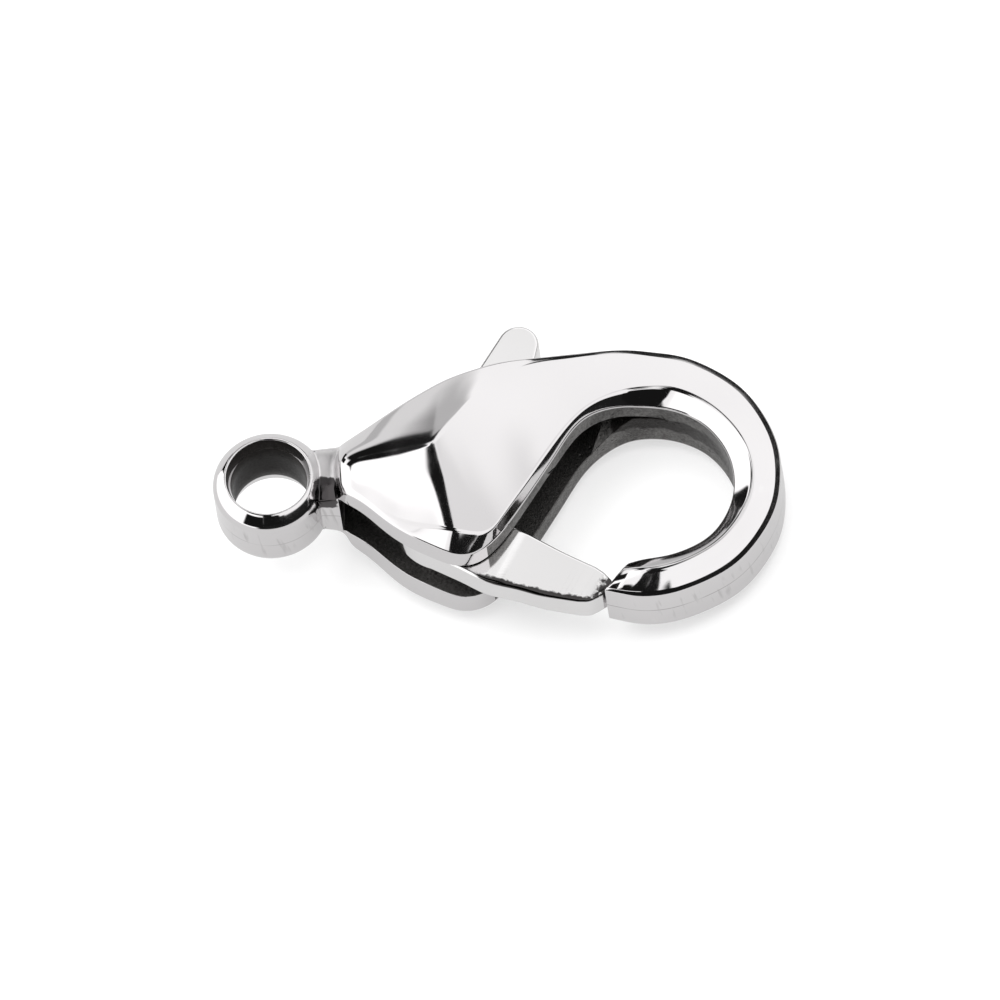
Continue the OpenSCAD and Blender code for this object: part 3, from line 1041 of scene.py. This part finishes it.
def two_tones(tree, mask, light, dark):
    """Mixes two colours by a mask. Either can be another node's output."""
    a, b = [(*c, 1) if isinstance(c, tuple) else c for c in (light, dark)]
    mix = add(tree, "ShaderNodeMix", {"Factor": mask, "A": a, "B": b}, data_type="RGBA")
    return mix.outputs["Result"]


def metal(name):
    """A material of that name, its node tree and its shader, set to metal."""
    material = bpy.data.materials.get(name) or bpy.data.materials.new(name)
    material.use_nodes = True
    surface = material.node_tree.nodes["Principled BSDF"]
    surface.inputs["Metallic"].default_value = 1.0
    return material, material.node_tree, surface


def effect(tree, shared, **values):
    """A shared effect with values of its own."""
    return add(tree, "ShaderNodeGroup", values, node_tree=shared).outputs


def marked(tree, shared, strength):
    """How strongly an effect's mask shows."""
    return times(tree, effect(tree, shared)["Mask"], strength)


def raised(tree, surface, height, distance):
    """Small relief that catches the light."""
    relief = add(tree, "ShaderNodeBump", {"Strength": 1.0, "Distance": distance, "Height": height})
    join(tree, relief.outputs["Normal"], surface.inputs["Normal"])


def steel(name, light, dark, smooth, hazy, scratches, bump, grain=0.0, moulded=0.0, wear_and_highlight=0.3,
          neck_marks=0.0, dark_edge_reflection=0.0):
    """Buffed steel, with the mould's line, the neck's black spot and the gate's painted dark
    reflection as strong as they are wanted.
    """
    material, tree, surface = metal(name)
    buffed = effect(tree, BUFFED, Smooth=smooth, Hazy=hazy, Scratches=scratches)
    worn_and_lit = effect(tree, WORN_AND_LIT)["Mask"]
    colour = two_tones(tree, buffed["Tone"], light, dark)
    # Lighter edges: wear and a painted highlight
    colour = two_tones(tree, times(tree, worn_and_lit, wear_and_highlight), colour, WORN_HIGHLIGHT_TONE)
    for shared, strength, tint in ((MOULD_LINE, moulded, MOULD_DARK),
                                   (NECK_SPOT, neck_marks, NECK_SPOT_BLACK), (EDGE_REFLECTION, dark_edge_reflection, EDGE_REFLECTION_BLACK)):
        colour = two_tones(tree, marked(tree, shared, strength), colour, tint)
    join(tree, colour, surface.inputs["Base Color"])
    haze = plus(tree, buffed["Roughness"], times(tree, worn_and_lit, WORN_DULLER))
    haze = plus(tree, haze, marked(tree, SATIN, neck_marks * SATIN_DULLER))
    join(tree, haze, surface.inputs["Roughness"])
    left = times(tree, effect(tree, GRAIN)["Height"], grain)
    raised(tree, surface, plus(tree, buffed["Height"], left), bump)
    return material


def cast_steel(name, light, dark, smooth, rough, bump, bare=1.0, shine=0.25):
    """Steel as it came out of the mould; bare sets how metallic it is, and the bore's painted
    shade has none.
    """
    material, tree, surface = metal(name)
    surface.inputs["Metallic"].default_value = bare
    surface.inputs["Specular IOR Level"].default_value = shine
    cast = effect(tree, GRAIN, Pits=0.8)
    colour = two_tones(tree, cast["Dark"], light, dark)
    # Painted black shade along the groove inside the hook
    colour = two_tones(tree, marked(tree, GROOVE_SHADE, 0.9), colour, GROOVE_SHADE_BLACK)
    join(tree, colour, surface.inputs["Base Color"])
    join(tree, spread(tree, cast["Dark"], 0, 1, smooth, rough), surface.inputs["Roughness"])
    raised(tree, surface, cast["Height"], bump)
    return material


polished = steel("polished_steel", (0.73, 0.715, 0.72), (0.67, 0.655, 0.66),
                 smooth=0.04, hazy=0.12, scratches=1.0, bump=2e-7,
                 grain=0.15, moulded=1.0, wear_and_highlight=0.15, neck_marks=0.95)
# The stamped lever carries the painted dark reflection along its gate's edge
stamped = steel("stamped_steel", (0.83, 0.82, 0.82), (0.77, 0.76, 0.76),
                smooth=0.05, hazy=0.16, scratches=1.5, bump=3e-7, wear_and_highlight=0.0, dark_edge_reflection=0.95)
drawn = steel("drawn_wire", (0.62, 0.62, 0.62), (0.50, 0.50, 0.50),
              smooth=0.15, hazy=0.30, scratches=2.0, bump=5e-7)
ground = steel("ground_pin", (0.80, 0.80, 0.80), (0.70, 0.70, 0.70),
               smooth=0.08, hazy=0.22, scratches=2.0, bump=4e-7)
rough = cast_steel("cast_steel", (0.20, 0.195, 0.19), (0.04, 0.038, 0.036),
                   smooth=0.3, rough=0.5, bump=8e-6)
# Painted shade for the bore: a nearly black, unmetallic copy of the cast steel
bore_shade = cast_steel("bore_shade_steel", (0.028, 0.025, 0.023), (0.010, 0.009, 0.008),
                       smooth=0.3, rough=0.5, bump=4e-6, bare=0.0, shine=0.1)
print("materials:", len(bpy.data.materials))

# %% [markdown]
# ## Dress the pieces
#
# Each piece takes its finish and hides the solid of the frame that it stands for. The body and
# the lever ride on their bodies, and the spring is laid in place and rides on no body. The pin's
# own solid is already right, and gets a finish alone.

# %% Dress and fasten
def dress(obj, materials):
    """Fills the slots one by one, because clearing them would put all faces in the first."""
    slots = obj.data.materials
    for number, material in enumerate(materials):
        if number < len(slots):
            slots[number] = material
        else:
            slots.append(material)


dress(belly, [polished, rough, bore_shade])
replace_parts(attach(belly, "clasp_body"), "body")
dress(lever, [stamped, stamped])
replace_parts(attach(lever, "clasp_lever"), "lever")
dress(spring, [drawn])
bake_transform(spring)
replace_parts(spring, "spring")
pin_solid = frame["nodes"]["pivot_pin"]
dress(pin_solid, [ground])
print("pieces dressed")

# %% [markdown]
# ## Floor, light and camera
#
# The clasp lies on a sheet of pale paper. The paper glows a little, which keeps the shadow soft
# and faint, and the metal mirrors it darker than it is, so the walls come out grey. Polished
# metal shows its surroundings, so the studio matters as much as the finish. A white tent stands
# round the clasp, open to a dark room at the front and overhead, and black cards hang inside it,
# as a jewellery photographer hangs them: each card draws a black line along a ridge, and that
# gives the facets their hard change from white to black. The tent and the cards are drawn in the
# world's background, and a lamp that the metal doesn't mirror lights the floor.

# %% Floor
FLOOR_HALF = 0.6
PAPER = (0.5, 0.5, 0.5)
PAPER_IN_METAL = (0.22, 0.22, 0.22)
PAPER_GLOW = 0.5
corners = [(-1, -1), (1, -1), (1, 1), (-1, 1)]
floor_points = [(FLOOR_HALF * x, FLOOR_HALF * y, cad_low.z) for x, y in corners]
floor = mesh_object("floor", floor_points, [(0, 1, 2, 3)])
pale = bpy.data.materials.new("pale_floor")
pale.use_nodes = True
sheet = pale.node_tree.nodes["Principled BSDF"].inputs
mirrored = add(pale.node_tree, "ShaderNodeLightPath", {}).outputs["Is Glossy Ray"]
paper = two_tones(pale.node_tree, mirrored, PAPER, PAPER_IN_METAL)
join(pale.node_tree, paper, sheet["Base Color"])
sheet["Roughness"].default_value = 0.9
sheet["Emission Color"].default_value = (1, 1, 1, 1)
sheet["Emission Strength"].default_value = PAPER_GLOW
sheet["Specular IOR Level"].default_value = 0.1
floor.data.materials.append(pale)

# %% White tent and black cards in the background
world = bpy.data.worlds.new("studio")
bpy.context.scene.world = world
world.use_nodes = True
sky = world.node_tree
direction = sky.nodes.new("ShaderNodeTexCoord").outputs["Generated"]
parts = add(sky, "ShaderNodeSeparateXYZ", {0: direction}).outputs
azimuth = maths(sky, "ARCTAN2", parts["Y"], parts["X"])
elevation = maths(sky, "ARCSINE", parts["Z"])
DARK_ROOM = 0.015


def within(value, middle, size, soft):
    """1 inside a span of angles, 0 outside it. Angles are in degrees."""
    away = minus(sky, value, math.radians(middle))
    away = maths(sky, "ABSOLUTE", maths(sky, "WRAP", away, math.pi, -math.pi))
    edge, fade = math.radians(size / 2), math.radians(soft / 2)
    return spread(sky, away, edge - fade, edge + fade, 1.0, 0.0, kind="SMOOTHSTEP")


def laid_over(under, mask, brightness):
    keep = times(sky, under, minus(sky, 1.0, mask))
    return plus(sky, keep, times(sky, mask, brightness))


def card(under, middle, height, width, tall, brightness, soft):
    """A soft-edged patch round an azimuth and an elevation, white or black."""
    across = within(azimuth, middle, width, soft)
    mask = times(sky, across, within(elevation, height, tall, soft))
    return laid_over(under, mask, brightness)


def tent(under, opening, low, rise, brightness, soft):
    """White above a rim that stands highest at the opening."""
    turned_away = maths(sky, "COSINE", minus(sky, azimuth, math.radians(opening)))
    rim = plus(sky, times(sky, turned_away, math.radians(rise)), math.radians(low))
    fade = math.radians(soft / 2)
    white = spread(sky, minus(sky, elevation, rim), -fade, fade, kind="SMOOTHSTEP")
    return laid_over(under, white, brightness)


light = tent(DARK_ROOM, opening=288, low=12, rise=22, brightness=1.27, soft=4)
# Azimuth from +X towards +Y, elevation, width, height, brightness, softness
CARDS = [
    (195, 30, 110, 60, 1.55, 10),
    (122, 66, 50, 24, 1.6, 4),
    (112, 14, 30, 14, 0.92, 4),
    (15, 2, 170, 14, 0.02, 2),
    (43, 66, 44, 30, 1.03, 14),
    (132, 2.5, 20, 17, 0.02, 2),
    (110, 2, 24, 14, 0.6, 3),
    (104, 25, 14, 10, 0.62, 5),
    (105, 37.5, 15, 15, 0.01, 5),
    (117.5, 32.5, 19, 23, 0.01, 6),
    (104, 61, 15, 12, 0.01, 3),
    (98, 74.5, 76, 21, 0.01, 3),
    (88, 60, 14, 10, 1.06, 4),
    (245, 27, 36, 34, 0.01, 4),
    (279, 37, 34, 30, 0.01, 3),
    (299.5, 30, 9, 14, 0.01, 3),
    (273, 55, 22, 16, 0.01, 2),
    (257, 70.5, 82, 19, 0.01, 3),
    (130.5, 48.5, 24, 17, 0.01, 3),
    (190, 77.5, 62, 10, 0.01, 3),
    (137, 16, 13, 16, 0.01, 2),
    (0, 90, 360, 25, 0.01, 3),
]
for placed in CARDS:
    light = card(light, *placed)
background = sky.nodes["Background"]
background.inputs["Color"].default_value = (1, 1, 1, 1)
join(sky, light, background.inputs["Strength"])
print("cards:", len(CARDS))

# %% Lamp for the floor
lamp_data = bpy.data.lights.new("floor_lamp", "AREA")
lamp_data.shape = "DISK"
lamp_data.size = 0.3
lamp_data.energy = 0.9
lamp = bpy.data.objects.new("floor_lamp", lamp_data)
lamp.location = (0.0, 0.02, 0.3)
lamp.visible_glossy = False
bpy.context.scene.collection.objects.link(lamp)

# %% [markdown]
# The photograph was taken from in front and above, from so far away that there is no
# perspective, so the camera is orthographic. Its three directions are known in the clasp's flat
# frame, and the lean turns them with it. The picture is 1000 pixels wide, and one millimetre
# takes 57.8 of them. The bore's centre lies at pixel 271 across and 495.9 down.

# %% Camera
PICTURE = 1000
PIXELS_PER_MM = 57.8
CAMERA_AWAY = 150
BORE_U, BORE_V = 271.0, 495.9
right = Vector((0.9966, 0.0203, -0.0798)).normalized()
up = Vector((0.0203, 0.8789, 0.4767))
up = (up - up.dot(right) * right).normalized()
toward_camera = right.cross(up)
turn = LEAN.to_3x3() @ Matrix((right, up, toward_camera)).transposed()
to_middle = ((PICTURE / 2 - BORE_U) * right - (PICTURE / 2 - BORE_V) * up) / PIXELS_PER_MM
camera_data = bpy.data.cameras.new("camera")
camera_data.type = "ORTHO"
camera_data.ortho_scale = MM * PICTURE / PIXELS_PER_MM
camera_data.clip_start = 0.001
camera_data.clip_end = 10
camera = bpy.data.objects.new("camera", camera_data)
stand = TO_FRAME @ (to_middle + CAMERA_AWAY * toward_camera)
camera.matrix_world = Matrix.Translation(stand) @ turn.to_4x4()
bpy.context.scene.collection.objects.link(camera)
bpy.context.scene.camera = camera
bpy.context.scene.view_settings.view_transform = "Standard"
print("camera looks down at", round(math.degrees(math.asin(camera.matrix_world.col[2].z)), 1))
